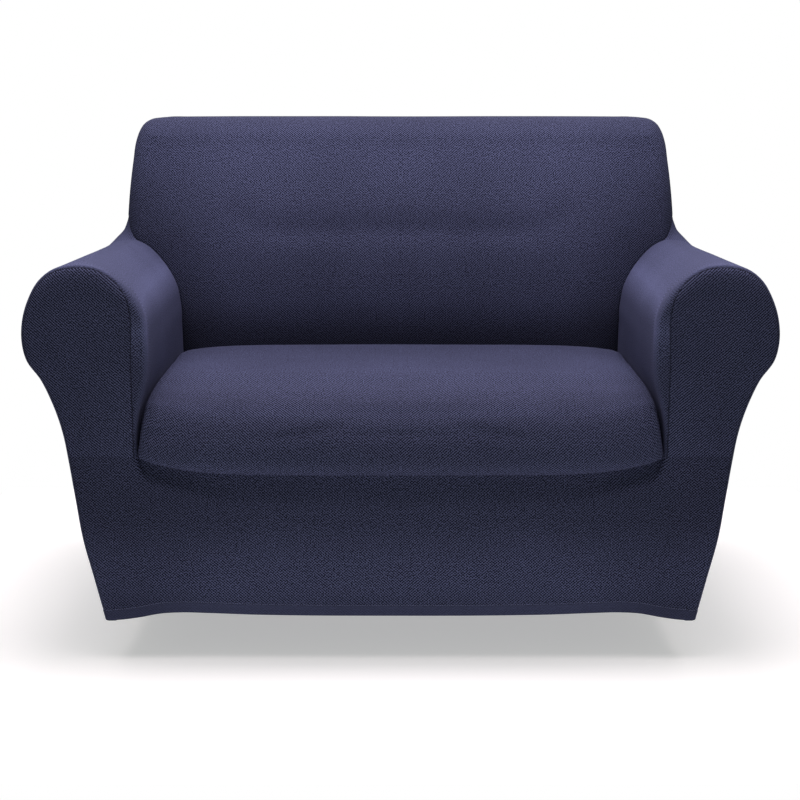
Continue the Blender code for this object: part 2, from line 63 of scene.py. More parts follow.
SEAT_COLUMNS = ("depth", "z", "end_depth", "end_z", "tuck_depth", "tuck_z", "tuck_x")
SEAT_ROWS = (
    (0.008, 0.2630, 0.016, 0.2930, 0.018, 0.2947, 0.4550),  # crease under the cushion
    (-0.010, 0.2675, -0.002, 0.2955, 0.022, 0.3020, 0.4545),
    (-0.0225, 0.2850, -0.0075, 0.3060, 0.027, 0.3120, 0.4530),
    (-0.0235, 0.3060, -0.0080, 0.3200, 0.034, 0.3230, 0.4512),  # fullest part of the front
    (-0.0150, 0.3380, -0.0025, 0.3450, 0.043, 0.3330, 0.4495),
    (0.0000, 0.3640, 0.0060, 0.3670, 0.056, 0.3410, 0.4478),  # front edge of the cushion
    (0.0200, 0.3815, 0.0200, 0.3830, 0.080, 0.3460, 0.4465),
    (0.055, 0.3950, 0.050, 0.3930, 0.125, 0.3490, 0.4455),
    (0.130, 0.4070, 0.130, 0.4010, 0.190, 0.3500, 0.4450),
    (0.250, 0.4135, 0.250, 0.4040, 0.290, 0.3500, 0.4450),
    (0.400, 0.4160, 0.400, 0.4050, 0.410, 0.3500, 0.4450),
    (0.520, 0.4160, 0.510, 0.4040, 0.510, 0.3500, 0.4450),
    (0.562, 0.4085, 0.550, 0.3960, 0.555, 0.3500, 0.4450),
    (0.583, 0.3850, 0.578, 0.3760, 0.580, 0.3500, 0.4450),
    (0.590, 0.3500, 0.590, 0.3500, 0.590, 0.3500, 0.4450),  # rear tuck
)
SEAT_CREASE, SEAT_EDGE, SEAT_REAR, SEAT_TUCK = 0, 5, 12, 14  # rows of the table
END_POWER = 6  # how late the seat turns from its middle shape to its end shape
END_COLUMNS = ("across", "reach", "drop")
END_ROWS = (
    (0.00, 0.000, 0.00),
    (0.45, 0.468, 0.00),
    (0.75, 0.790, 0.00),
    (0.88, 0.920, 0.00),
    (0.93, 0.966, 0.02),
    (0.96, 0.989, 0.12),
    (0.98, 0.998, 0.42),
    (1.00, 1.000, 1.00),
)

# The front's hem is pulled in this far under the sofa, fading upwards and along the sides.
LEAN = SimpleNamespace(depth=0.012, height=0.2947, fade=0.25)
SEAM_STEPS = (0.0008, 0.0012, 0.0020, 0.0030, 0.0045, 0.0060)  # rows beside a seam, from it on
SEAM_PUFF = 0.0007  # the cloth rises this much from the thread of a seam
SEAM_WIDTH = 0.0026  # over about this distance
SEAM_SAMPLE = 0.0005
SEAM_CALM = 0.02  # folds and unevenness die out over this distance to a seam
WAVE = SimpleNamespace(size=0.17, rise=0.0007, place=Vector((3.7, 1.2, 8.4)))  # slow unevenness
# The turned hem: its band stands proud, and its stitching draws a groove along its upper edge.
HEM = SimpleNamespace(width=0.0195, proud=0.0005, groove=0.0009, groove_width=0.0014)
HEM_STEPS = (0.0035, 0.0020, 0.0011, 0.0009, 0.0009, 0.0011, 0.0020, 0.0045, 0.0050, 0.0035, 0.0017, 0.0008)
STITCH_ROW = 8  # of the rows above, counted from the hem's edge: where it is stitched


class Curve:
    """A smooth curve through the rows of a table, read at a distance along it."""

    def __init__(self, columns, rows, along):
        self.columns = columns
        self.rows = np.array(rows, dtype=float)
        places = self.rows[:, [columns.index(name) for name in along]]
        steps = np.linalg.norm(np.diff(places, axis=0), axis=1)
        self.knots = np.concatenate(([0.0], np.cumsum(steps)))
        slopes = np.diff(self.rows, axis=0) / steps[:, None]
        before = steps[:-1, None]
        after = steps[1:, None]
        middle = (after * slopes[:-1] + before * slopes[1:]) / (before + after)
        self.slopes = np.vstack((slopes[:1], middle, slopes[-1:]))

    def at(self, row, column):
        """One value of the table."""
        return self.rows[row, self.columns.index(column)]

    def read(self, place):
        """The value of every column at the given distances."""
        place = np.asarray(place, dtype=float)
        last = len(self.knots) - 2
        k = np.clip(np.searchsorted(self.knots, place, side="right") - 1, 0, last)
        step = (self.knots[k + 1] - self.knots[k])[..., None]
        t = (place - self.knots[k])[..., None] / step
        values = (
            (2 * t**3 - 3 * t**2 + 1) * self.rows[k]
            + (t**3 - 2 * t**2 + t) * step * self.slopes[k]
            + (3 * t**2 - 2 * t**3) * self.rows[k + 1]
            + (t**3 - t**2) * step * self.slopes[k + 1]
        )
        return SimpleNamespace(**dict(zip(self.columns, np.moveaxis(values, -1, 0))))


def mix(a, b, share):
    return a + (b - a) * share


def smooth(value, start, end):
    """0 before start, 1 after end, and an S-curve between them."""
    t = np.clip((value - start) / (end - start), 0.0, 1.0)
    return t * t * (3 - 2 * t)


def points(x, depth, z):
    """World points from half-width, depth and height."""
    x, depth, z = np.broadcast_arrays(x, depth, z)
    return np.stack((x, FRONT_Y + depth, z), axis=-1)


def pulled_in(grid):
    """The same grid with its front leaning back below the arm fronts, towards the hem."""
    depth = grid[..., 1] - FRONT_Y
    low = np.clip(1 - grid[..., 2] / LEAN.height, 0, 1)
    leaned = grid.copy()
    leaned[..., 1] += LEAN.depth * low * (1 - smooth(depth, 0, LEAN.fade))
    return leaned


def crowd(start, end, steps, at_start=(), at_end=()):
    """Distances from start to end in even steps, with closer ones beside a seam or hem."""
    first = start + np.cumsum((0.0, *at_start))
    last = end - np.cumsum((0.0, *at_end[::-1]))[::-1]
    return np.concatenate((first, np.linspace(first[-1], last[0], steps + 1)[1:-1], last))


def arc(grid, axis):
    """Distance along the rows (axis 0) or the columns (axis 1) of a grid of points."""
    steps = np.linalg.norm(np.diff(grid, axis=axis), axis=-1)
    start = np.zeros_like(np.take(steps, [0], axis=axis))
    return np.concatenate((start, np.cumsum(steps, axis=axis)), axis=axis)


def patch(grid, u, v, hem=None, joined=()):
    """A stretch of cloth: its points, their places on the flat cloth, and which row is the hem.

    joined are the rows along an edge that is joined so flat that it doesn't show.
    """
    u, v = np.broadcast_arrays(u, v)
    above = np.full(grid.shape[:2], FAR)
    stitched = np.zeros(grid.shape[:2])
    flush = np.zeros(grid.shape[:2])
    flush[list(joined)] = 1
    if hem is not None:
        down = arc(grid, 0)
        above = np.abs(down - down[hem])
        stitched[STITCH_ROW if hem == 0 else hem - STITCH_ROW] = 1
    return SimpleNamespace(grid=grid, u=u, v=v, above=above, stitched=stitched, joined=flush)


def crease(places, start, end, width, rise):
    """A soft fold along a straight line: a ridge, or a trough where rise is negative."""
    start = np.array(start)
    line = np.array(end) - start
    t = np.clip((places - start) @ line / (line @ line), 0, 1)
    away = np.linalg.norm(places - start - t[:, None] * line, axis=1)
    taper = np.clip(4 * t * (1 - t), 0, 1) ** 0.5
    return rise * taper * np.exp(-((away / width) ** 2))


def seam_distances(shell):
    """Distance of each point of a panel from its seams, which are its edges without the hem."""
    above = shell.verts.layers.float["above"]
    joined = shell.verts.layers.float["joined"]
    samples = []
    for edge in shell.edges:
        a, b = edge.verts
        edge.smooth = not edge.is_boundary
        sewn = max(a[above], b[above]) > MERGE and min(a[joined], b[joined]) < 1
        if edge.is_boundary and sewn:
            count = math.ceil(edge.calc_length() / SEAM_SAMPLE)
            samples += [a.co.lerp(b.co, k / count) for k in range(count + 1)]
    tree = kdtree.KDTree(len(samples))
    for number, place in enumerate(samples):
        tree.insert(place, number)
    tree.balance()
    return np.array([tree.find(vert.co)[2] for vert in shell.verts])


def raise_cloth(mesh, seam, above, folds):
    """Moves the cloth along its normals: down at seams and at the hem's stitching, and in folds."""
    places = np.empty(len(mesh.vertices) * 3, dtype=np.float32)
    normals = np.empty_like(places)
    mesh.vertices.foreach_get("co", places)
    mesh.vertex_normals.foreach_get("vector", normals)
    places = places.reshape(-1, 3).astype(float)
    free = 1 - np.exp(-((seam / SEAM_WIDTH) ** 2))
    band = 1 - smooth(above, HEM.width - HEM.groove_width, HEM.width + HEM.groove_width)
    groove = np.exp(-(((above - HEM.width) / HEM.groove_width) ** 2))
    half = places.copy()
    half[:, 0] = np.abs(half[:, 0])
    slow = np.array([noise.noise(Vector(place) / WAVE.size + WAVE.place) for place in places]) * WAVE.rise
    for start, end, width, height in folds:
        slow += crease(half, points(*start), points(*end), width, height)
    rise = SEAM_PUFF * free + HEM.proud * band - HEM.groove * groove + slow * smooth(seam, 0, SEAM_CALM)
    places += normals.reshape(-1, 3) * rise[:, None]
    mesh.vertices.foreach_set("co", places.ravel())
    mesh.update()


def in_scene(name, data):
    """A new object of the scene that shows the given data."""
    item = bpy.data.objects.new(name, data)
    bpy.context.scene.collection.objects.link(item)
    return item


def sewn_panel(name, patches, sides, folds=()):
    """The cloth of one panel, with its seams, hem and folds. sides: 1 for the +X half, -1, or both."""
    verts, faces, cloth = [], [], []
    words = {"above": [], "stitched": [], "joined": []}
    count = 0
    for side in sides:
        for piece in patches:
            index = np.arange(piece.above.size).reshape(piece.above.shape) + count
            count += piece.above.size
            corners = (index[:-1, :-1], index[:-1, 1:], index[1:, 1:], index[1:, :-1])
            faces.append(np.stack(corners[::-side], axis=-1).reshape(-1, 4))
            verts.append((pulled_in(piece.grid) * (side, 1, 1)).reshape(-1, 3))
            cloth.append(np.stack((piece.u, piece.v), axis=-1).reshape(-1, 2))
            for word, values in words.items():
                values.append(getattr(piece, word).ravel())
    faces = np.concatenate(faces)
    mesh = bpy.data.meshes.new(name)
    mesh.from_pydata(np.concatenate(verts).tolist(), [], faces.tolist())
    flat = mesh.uv_layers.new(name="cloth")
    flat.data.foreach_set("uv", np.concatenate(cloth)[faces].ravel())
    for word, values in words.items():
        layer = mesh.attributes.new(word, "FLOAT", "POINT")
        layer.data.foreach_set("value", np.concatenate(values))
    shell = bmesh.new()
    shell.from_mesh(mesh)
    bmesh.ops.remove_doubles(shell, verts=shell.verts, dist=MERGE)
    seam = seam_distances(shell)
    shell.to_mesh(mesh)
    shell.free()
    mesh.attributes.new("seam", "FLOAT", "POINT").data.foreach_set("value", seam)
    merged = np.empty(len(mesh.vertices), dtype=np.float32)
    mesh.attributes["above"].data.foreach_get("value", merged)
    raise_cloth(mesh, seam, merged, folds)
    mesh.shade_smooth()
    item = in_scene(name, mesh)
    wall = item.modifiers.new("cloth", "SOLIDIFY")
    wall.thickness = CLOTH
    wall.offset = -1
    return item


def linear(colour):
    """An sRGB hex colour as linear RGBA."""
    shares = [int(colour[i : i + 2], 16) / 255 for i in (1, 3, 5)]
    return (*[c / 12.92 if c <= 0.04045 else ((c + 0.055) / 1.055) ** 2.4 for c in shares], 1.0)


def node(tree, kind, inputs=(), **settings):
    """Adds one node with its settings. Its inputs are set to values, or linked to sockets.

    A node that is given as an input stands for its first output.
    """
    made = tree.nodes.new(kind)
    for key, value in settings.items():
        setattr(made, key, value)
    for key, value in dict(inputs).items():
        if isinstance(value, bpy.types.Node):
            value = value.outputs[0]
        if isinstance(value, bpy.types.NodeSocket):
            tree.links.new(value, made.inputs[key])
        else:
            made.inputs[key].default_value = value
    return made


# Polyester and elastane knit, dyed navy and two-toned: pale and dark loops alternate, row by
# row, as a small staggered dot, and the matt yarn has a faint lilac bloom. The real loops
# are about 3.3 mm apart on the slant; they are drawn 3.7 mm apart, so that they show. Each
# loop takes the dye a little differently, and the turned hem is smoother than the rest.
LOOP = SimpleNamespace(slant=0.0037, across=0.66, along=0.75, height=0.00012)
UNEVEN = {  # how many patches of each there are in a metre of cloth, and their detail
    "wander": (14.0, 2.0),  # the rows of loops don't run quite straight
    "heather": (1 / 0.0024, 1.0),  # one loop is darker than the next
    "dye": (5.0, 3.0),
    "pucker": (330.0, 0.0),  # along the seams
    "fuzz": (1500.0, 2.0),
}
WANDER_TURN, HEATHER_STRENGTH = 0.9, 3.2
PUCKER_SIZE = 0.0018
FUZZ_HEIGHT = 0.25  # of a loop's height
DYE = SimpleNamespace(low=0.3, high=0.7, dark=0.92, pale=1.08)
# Where the dots are lost, the cloth reads as one colour, that share of the way to the pale yarn: on the
# turned hem, and in a painted sheen where the cloth faces away from the front.
PAINTED_SHEEN = SimpleNamespace(pale=0.8, front=-0.95, side=-0.6, in_front=0.1)
TURNED = SimpleNamespace(pale=0.6, lost=0.7, fade=0.002)
SEAM_SHADE = SimpleNamespace(start=0.0006, end=0.00281, light=0.22)  # distances from its thread
# Painted shade: the share of light left at the bottom of a tuck, darkening the cloth near its seams.
PAINTED_TUCK_SHADE = 0.62  # at the bottom of a tuck
# Painted shade at the ends of a panel comes in between these:
PAINTED_FLANK = SimpleNamespace(start=0.28, end=0.45)  # distances from the middle
PALE_YARN = "#4B4F6D"
DARK_YARN = "#0D0F1D"
BLOOM = "#9C98D0"


def knit(name, lean, contrast=1.0, painted_sheen=0.0, tuck=0.0, painted_tones=(), painted_flanks=1.0, drawn_out=None):
    """The knit. lean is -1 to 1: which of the two diagonals through the dots reads stronger.

    worn is how far the dots are lost in a painted sheen, a paler plain colour, other than where
    it faces the front. tuck is the distance from its seams over which painted shade darkens the
    cloth, as in the shadow of a tuck. tones are (place, light) pairs up the cloth: painted light
    and shade. flanks is the light at its two ends, away from the middle: painted shade. drawn_out
    is a share, a start and a length up the cloth: over that length its loops are stretched until
    only that share of them fits in.
    """
    material = bpy.data.materials.new(name)
    material.use_nodes = True
    tree = material.node_tree
    tree.nodes.clear()
    flat = node(tree, "ShaderNodeUVMap", uv_map="cloth")
    place = node(tree, "ShaderNodeSeparateXYZ", {0: flat})
    up_cloth = place.outputs["Y"]
    if drawn_out:
        fits, start, length = drawn_out
        over = {
            "Value": up_cloth,
            "From Min": start,
            "From Max": start + length,
            "To Max": (fits - 1) * length,
        }
        saved = node(tree, "ShaderNodeMapRange", over, interpolation_type="SMOOTHSTEP")
        drawn = node(tree, "ShaderNodeMath", {0: up_cloth, 1: saved}, operation="ADD")
        flat = node(tree, "ShaderNodeCombineXYZ", {"X": place.outputs["X"], "Y": drawn})
        place = node(tree, "ShaderNodeSeparateXYZ", {0: flat})

    # The dots: two waves that cross, in rows that wander a little, and heathered loop by loop.
    uneven = {}
    for word, (scale, detail) in UNEVEN.items():
        uneven[word] = node(tree, "ShaderNodeTexNoise", {"Vector": flat, "Scale": scale, "Detail": detail})
    for word, strength in (("wander", WANDER_TURN), ("heather", HEATHER_STRENGTH)):
        centred = node(tree, "ShaderNodeMath", {0: uneven[word], 1: 0.5}, operation="SUBTRACT")
        uneven[word] = node(tree, "ShaderNodeMath", {0: centred, 1: strength}, operation="MULTIPLY")
    turns = 2 * math.pi / LOOP.slant
    across = {0: place.outputs["X"], 1: turns * LOOP.across, 2: uneven["wander"]}
    across = node(tree, "ShaderNodeMath", across, operation="MULTIPLY_ADD")
    along = {0: place.outputs["Y"], 1: turns * LOOP.along}
    along = node(tree, "ShaderNodeMath", along, operation="MULTIPLY")
    dots = 0.0
    for operation, weight in (("ADD", (1 + lean) / 2), ("SUBTRACT", (1 - lean) / 2)):
        phase = node(tree, "ShaderNodeMath", {0: across, 1: along}, operation=operation)
        wave = node(tree, "ShaderNodeMath", {0: phase}, operation="COSINE")
        dots = node(tree, "ShaderNodeMath", {0: wave, 1: weight, 2: dots}, operation="MULTIPLY_ADD")
    heathered = node(tree, "ShaderNodeMath", {0: dots, 1: uneven["heather"]}, operation="ADD")
    pale = {"Value": heathered, "From Min": -0.5 / contrast, "From Max": 0.5 / contrast}
    pale = node(tree, "ShaderNodeMapRange", pale, interpolation_type="SMOOTHSTEP")
    # Painted sheen: the dots fade into a paler plain colour where the cloth faces away from the front.
    if painted_sheen:
        normal = node(tree, "ShaderNodeTexCoord").outputs["Normal"]
        sheen_facing = {
            "Value": node(tree, "ShaderNodeSeparateXYZ", {0: normal}).outputs["Y"],
            "From Min": PAINTED_SHEEN.front,
            "From Max": PAINTED_SHEEN.side,
            "To Min": painted_sheen * PAINTED_SHEEN.in_front,
            "To Max": painted_sheen,
        }
        painted_sheen_share = node(tree, "ShaderNodeMapRange", sheen_facing)
        pale = node(tree, "ShaderNodeMix", {"Factor": painted_sheen_share, "A": pale, "B": PAINTED_SHEEN.pale})
    turned = {
        "Value": node(tree, "ShaderNodeAttribute", attribute_name="above").outputs["Fac"],
        "From Min": HEM.width - TURNED.fade,
        "From Max": HEM.width,
        "To Min": TURNED.lost,
        "To Max": 0.0,
    }
    turned = node(tree, "ShaderNodeMapRange", turned)
    pale = node(tree, "ShaderNodeMix", {"Factor": turned, "A": pale, "B": TURNED.pale})
    yarn = {"Factor": pale, "A": linear(DARK_YARN), "B": linear(PALE_YARN)}
    yarn = node(tree, "ShaderNodeMix", yarn, data_type="RGBA").outputs["Result"]

    # How light the cloth is: less along the thread of its seams and uneven where it took the dye, with
    # painted shade towards its tucks and at its ends, and painted light and shade up the cloth.
    seam = node(tree, "ShaderNodeAttribute", attribute_name="seam").outputs["Fac"]
    pucker = {0: uneven["pucker"], 1: PUCKER_SIZE, 2: seam}
    sewn = {
        "Value": node(tree, "ShaderNodeMath", pucker, operation="MULTIPLY_ADD"),
        "From Min": SEAM_SHADE.start,
        "From Max": SEAM_SHADE.end,
        "To Min": SEAM_SHADE.light,
    }
    taken = {
        "Value": uneven["dye"],
        "From Min": DYE.low,
        "From Max": DYE.high,
        "To Min": DYE.dark,
        "To Max": DYE.pale,
    }
    lights = [node(tree, "ShaderNodeMapRange", sewn)]
    # Painted shade, darker towards the seams over the given distance, as in the shadow of a tuck.
    if tuck:
        painted_tuck_shade = {"Value": seam, "From Max": tuck, "To Min": PAINTED_TUCK_SHADE}
        lights.append(node(tree, "ShaderNodeMapRange", painted_tuck_shade))
    # Painted light and shade: a ramp of light shares up the cloth.
    if painted_tones:
        height = node(tree, "ShaderNodeMath", {0: up_cloth}, operation="ABSOLUTE")
        painted_tone_ramp = node(tree, "ShaderNodeValToRGB", {"Fac": height})
        steps = painted_tone_ramp.color_ramp.elements
        while len(steps) < len(painted_tones):
            steps.new(0.5)
        for step, (at, painted_tone) in zip(steps, painted_tones):
            step.position = at
            step.color = (painted_tone, painted_tone, painted_tone, 1)
        lights.append(painted_tone_ramp)
    # Painted shade at the two ends of the cloth.
    if painted_flanks < 1:
        painted_flank_shade = {
            "Value": node(tree, "ShaderNodeMath", {0: place.outputs["X"]}, operation="ABSOLUTE"),
            "From Min": PAINTED_FLANK.start,
            "From Max": PAINTED_FLANK.end,
            "To Min": 1.0,
            "To Max": painted_flanks,
        }
        lights.append(node(tree, "ShaderNodeMapRange", painted_flank_shade))
    lights.append(node(tree, "ShaderNodeMapRange", taken))
    # The seam and dye shares, times the painted light and shade.
    light = 1.0
    for part in lights:
        light = node(tree, "ShaderNodeMath", {0: light, 1: part}, operation="MULTIPLY")
    relief = {0: uneven["fuzz"], 1: FUZZ_HEIGHT, 2: dots}
    relief = node(tree, "ShaderNodeMath", relief, operation="MULTIPLY_ADD")
    bump = {"Height": relief, "Distance": LOOP.height, "Strength": 1.0}
    cloth = node(
        tree,
        "ShaderNodeBsdfPrincipled",
        {
            "Base Color": node(tree, "ShaderNodeVectorMath", {0: yarn, "Scale": light}, operation="SCALE"),
            "Roughness": 0.92,
            "Specular IOR Level": 0.08,
            "Sheen Weight": 0.02,
            "Sheen Roughness": 0.45,
            "Sheen Tint": linear(BLOOM),
            "Normal": node(tree, "ShaderNodeBump", bump),
        },
    )
    node(tree, "ShaderNodeOutputMaterial", {"Surface": cloth})
    return material


def dress(item, node_name, material):
    """Gives a finished panel its material and its place in the frame, and hides the imported part."""
    item.data.materials.append(material)
    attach(item, "root")
    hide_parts(node_name)


SEAT = Curve(SEAT_COLUMNS, SEAT_ROWS, ("depth", "z"))
SEAT_END = Curve(END_COLUMNS, END_ROWS, ("across",))
SEAT_STEPS = (26, 80, 6)  # front, top, rear
END_STEPS, MIDDLE_STEPS, END_SHARE = 10, 66, 0.10
TO_SEAM = SEAM_STEPS[::-1]
seat_knots = SEAT.knots[[SEAT_CREASE, SEAT_EDGE, SEAT_REAR, SEAT_TUCK]]
seat_places = np.concatenate(
    (
        crowd(seat_knots[0], seat_knots[1], SEAT_STEPS[0], at_start=SEAM_STEPS)[:-1],
        crowd(seat_knots[1], seat_knots[2], SEAT_STEPS[1])[:-1],
        crowd(seat_knots[2], seat_knots[3], SEAT_STEPS[2], at_end=TO_SEAM),
    )
)
half_seat = SEAT.at(SEAT_CREASE, "tuck_x")
end_across = crowd(0, END_SHARE, END_STEPS, at_start=np.array(SEAM_STEPS) / half_seat)
seat_across = 1 - np.concatenate((end_across[:-1], np.linspace(END_SHARE, 1, MIDDLE_STEPS + 1)))
seat_row = SEAT.read(seat_places[:, None])
seat_end = SEAT_END.read(seat_across[None, :])
to_end = seat_end.reach**END_POWER
seat = points(
    seat_row.tuck_x * seat_end.reach,
    mix(mix(seat_row.depth, seat_row.end_depth, to_end), seat_row.tuck_depth, seat_end.drop),
    mix(mix(seat_row.z, seat_row.end_z, to_end), seat_row.tuck_z, seat_end.drop),
)
seat_u = arc(seat, 1)
seat_patch = patch(seat, seat_u[:, -1:] - seat_u, arc(seat, 0), joined=[0])
# Folds, from one (x, depth, z) to another, then width and rise: short drags beside the
# slits, slack folds that slant across the front, and its flatter middle.
SEAT_FOLDS = (
    ((0.442, 0.000, 0.345), (0.415, -0.001, 0.352), 0.006, 0.0018),
    ((0.442, -0.005, 0.330), (0.405, -0.007, 0.335), 0.006, -0.0016),
    ((0.442, -0.008, 0.316), (0.415, -0.009, 0.312), 0.007, 0.0014),
    ((0.100, -0.001, 0.362), (0.230, -0.013, 0.342), 0.011, 0.0014),
    ((0.105, -0.009, 0.348), (0.270, -0.019, 0.324), 0.014, -0.0013),
    ((0.250, -0.001, 0.362), (0.330, 0.010, 0.374), 0.011, -0.0012),
    ((-0.090, -0.015, 0.338), (0.090, -0.015, 0.338), 0.009, -0.0012),
    ((-0.120, 0.006, 0.369), (0.120, 0.006, 0.369), 0.020, -0.0030),
)
seat_cover = sewn_panel("seat_cover", [seat_patch], (1, -1), SEAT_FOLDS)
# Over the front half of the cushion's top the loops are drawn up to 2.5 times as long from
# front to rear: the knit is stretched there, and at their real length they would blur.
SEAT_DRAWN = SimpleNamespace(share=0.6, behind_edge=0.02, length=0.30)
drawn_out = (SEAT_DRAWN.share, seat_knots[1] + SEAT_DRAWN.behind_edge, SEAT_DRAWN.length)
# Painted light and shade up the cushion, as (place, light) pairs:
seat_painted_tones = (
    *((0.055, 1.07), (0.125, 0.90), (0.130, 1.00), (0.158, 0.84)),  # front, down to the crease
    *((0.200, 0.93), (0.360, 1.05), (0.600, 0.86)),  # top
)
seat_knit = knit("navy_knit_seat", -0.25, 1.1, painted_tones=seat_painted_tones, drawn_out=drawn_out)
dress(seat_cover, "seat_panel", seat_knit)

# ---------------------------------------------------------------- the arm panels
# The inside, roll and outside of each arm in one piece of knit, from the tuck beside the
# seat up over the roll and down to the hem. It wraps a little onto the arm's front face,
# where it is sewn to the arm front and the skirt, and behind to the inside and outside back.
ARM_COLUMNS = ("x", "z", "back_x", "back_z", "edge", "seam")
ARM_ROWS = (
    (0.4550, 0.2947, 0.4450, 0.3500, 0.008, 0.005),  # foot
    (0.4515, 0.3700, 0.4465, 0.4010, 0.008, 0.009),
    (0.4375, 0.4300, 0.4482, 0.4500, 0.008, 0.024),
    (0.4348, 0.4980, 0.4502, 0.4920, 0.008, 0.025),
    (0.4400, 0.5410, 0.4590, 0.5322, 0.008, 0.020),
    (0.4567, 0.5751, 0.4800, 0.5684, 0.016, 0.011),  # inner shoulder of the roll
    (0.4814, 0.6006, 0.5070, 0.5985, 0.028, 0.005),
    (0.5180, 0.6225, 0.5370, 0.6165, 0.036, 0.004),  # where the side of the back stands
    (0.5567, 0.6260, 0.5600, 0.6170, 0.040, 0.004),
    (0.5920, 0.6180, 0.5915, 0.6100, 0.040, 0.004),
    (0.6140, 0.6010, 0.6130, 0.5960, 0.036, 0.004),
    (0.6346, 0.5666, 0.6336, 0.5630, 0.030, 0.004),  # outer shoulder of the roll
    (0.6466, 0.5239, 0.6466, 0.5239, 0.024, 0.004),
    (0.6478, 0.4982, 0.6478, 0.4982, 0.020, 0.004),
    (0.6408, 0.4637, 0.6408, 0.4637, 0.018, 0.004),
    (0.6172, 0.4291, 0.6172, 0.4291, 0.022, 0.004),  # the cloth leaves the post
    (0.6014, 0.3944, 0.6014, 0.3944, 0.034, 0.004),
    (0.5890, 0.3596, 0.5890, 0.3596, 0.022, 0.004),
    (0.5800, 0.3245, 0.5800, 0.3245, 0.011, 0.004),
    (0.5750, 0.2947, 0.5750, 0.2947, 0.008, 0.004),  # foot of the post
    (0.5646, 0.2186, 0.5646, 0.2186, 0.008, 0.004),
    (0.5547, 0.1473, 0.5547, 0.1473, 0.008, 0.004),
    (0.5379, 0.0753, 0.5379, 0.0753, 0.008, 0.004),
    (0.5200, 0.0000, 0.5200, 0.0000, 0.008, 0.004),  # hem
)
ARM_FOOT, ARM_INNER, ARM_RIDGE, ARM_OUTER, ARM_POST, ARM_HEM = 0, 5, 7, 11, 19, 23  # rows
ARM_STEPS = (40, 12, 14, 40, 40)  # inside, inner roll, outer roll, under the roll, skirt
FOOT_PULL = 0.135  # length of the arm's inside that follows the tuck
EDGE_DEPTH = 0.014  # depth of the turn from the front face to the arm's side
CORE_MARGIN = 0.010  # flat cloth between the front seam or edge and the middle of the front face
EDGE_SAMPLES = 60  # round that turn
# Columns of points, as shares of the way to the front seam, and from it to the crease's end.
RING_SHARES = (0.0, 0.25, 0.48, 0.68, 0.83, 0.93, 1.0)
WRAP_SHARES = (0.0, 0.04, 0.10, 0.19, 0.31, 0.46, 0.64, 0.82, 1.0)

# The upright back stands in the arm's panel: its outline, side and crest are needed here.
BACK_COLUMNS = ("x", "z", "turn")
BACK_ROWS = (
    (0.5660, 0.5900, 0.030),
    (0.5650, 0.6600, 0.030),
    (0.5625, 0.7000, 0.030),
    (0.5590, 0.7365, 0.030),
    (0.5535, 0.7800, 0.031),
    (0.5480, 0.8187, 0.033),
    (0.5410, 0.8400, 0.036),  # middle of the rounded top corner
    (0.5325, 0.8540, 0.040),
    (0.5190, 0.8628, 0.043),
    (0.4980, 0.8665, 0.045),
    (0.4550, 0.8673, 0.045),
    (0.4200, 0.8675, 0.045),
    (0.0000, 0.8675, 0.045),
)
BACK_CORNER = 6  # row of the table
BACK_SIDE_STEPS, TURN_STEPS, FLAT_STEPS = 34, 12, 18
BACK_LEAN = 0.176  # depth gained for each metre of height
BACK_CROWN = 0.033  # how far the inside back bulges forward
CROWN_REACH = 0.55  # half-width over which it bulges
BACK_TOP = 0.8675
DIP = SimpleNamespace(z=0.642, half_height=0.034, depth=0.004, inner_x=0.15, outer_x=0.40)
RIDGE_RISE = 0.050  # the arm's cloth climbs this far round the side of the back
FILLET = 0.130  # length of arm cloth that is pulled up by it
REAR_TURN = 0.012  # radius of the rear edges
SIDE_SAMPLES = 400  # of its height, up the side of the back
# Closer rows at the foot and the top of the back's side, as shares of its 0.25 m.
SIDE_FOOT_STEPS = [step / 0.25 for step in SEAM_STEPS]
SIDE_TOP_STEPS = [0.015] * 6
NUDGE = 0.001  # a short step, to find a slope

# The hem is pulled down at the four corners. corner: distance from a corner along the hem.
LIFT_ROWS = (
    (0.000, 0.0000),
    (0.030, 0.0022),
    (0.058, 0.0062),
    (0.095, 0.0130),
    (0.130, 0.0150),
    (0.180, 0.0138),
    (0.250, 0.0112),
    (0.340, 0.0097),
    (0.540, 0.0090),
)
LIFT_FADE = 0.16  # height over which the hem's waves die out
LIFT_LEVEL = 0.10  # below this height the turn of the front corner becomes level
STEP = SimpleNamespace(depth=0.002, half_height=0.015, inner_x=0.50, outer_x=0.56)

ARM = Curve(ARM_COLUMNS, ARM_ROWS, ("x", "z"))
BACK = Curve(BACK_COLUMNS, BACK_ROWS, ("x", "z"))
LIFT = Curve(("corner", "lift"), LIFT_ROWS, ("corner",))


def hem_lift(corner_distance, z):
    """How far the hem's waves lift the cloth at height z."""
    lift = LIFT.read(np.clip(corner_distance, 0, LIFT.at(-1, "corner"))).lift
    return lift * (1 - smooth(z, 0, LIFT_FADE))


def side_points(x, depth, z):
    """Points of the arm's outside, with the hem lifted between its two corners."""
    return points(x, depth, z + hem_lift(np.minimum(depth, COVER_DEPTH - depth), z))


def front_step(x, z):
    """Depth of the soft step where the arm front and the cushion meet the skirt."""
    near_seam = np.exp(-(((z - ARM.at(ARM_POST, "z")) / STEP.half_height) ** 2))
    return STEP.depth * near_seam * (1 - smooth(np.abs(x), STEP.inner_x, STEP.outer_x))


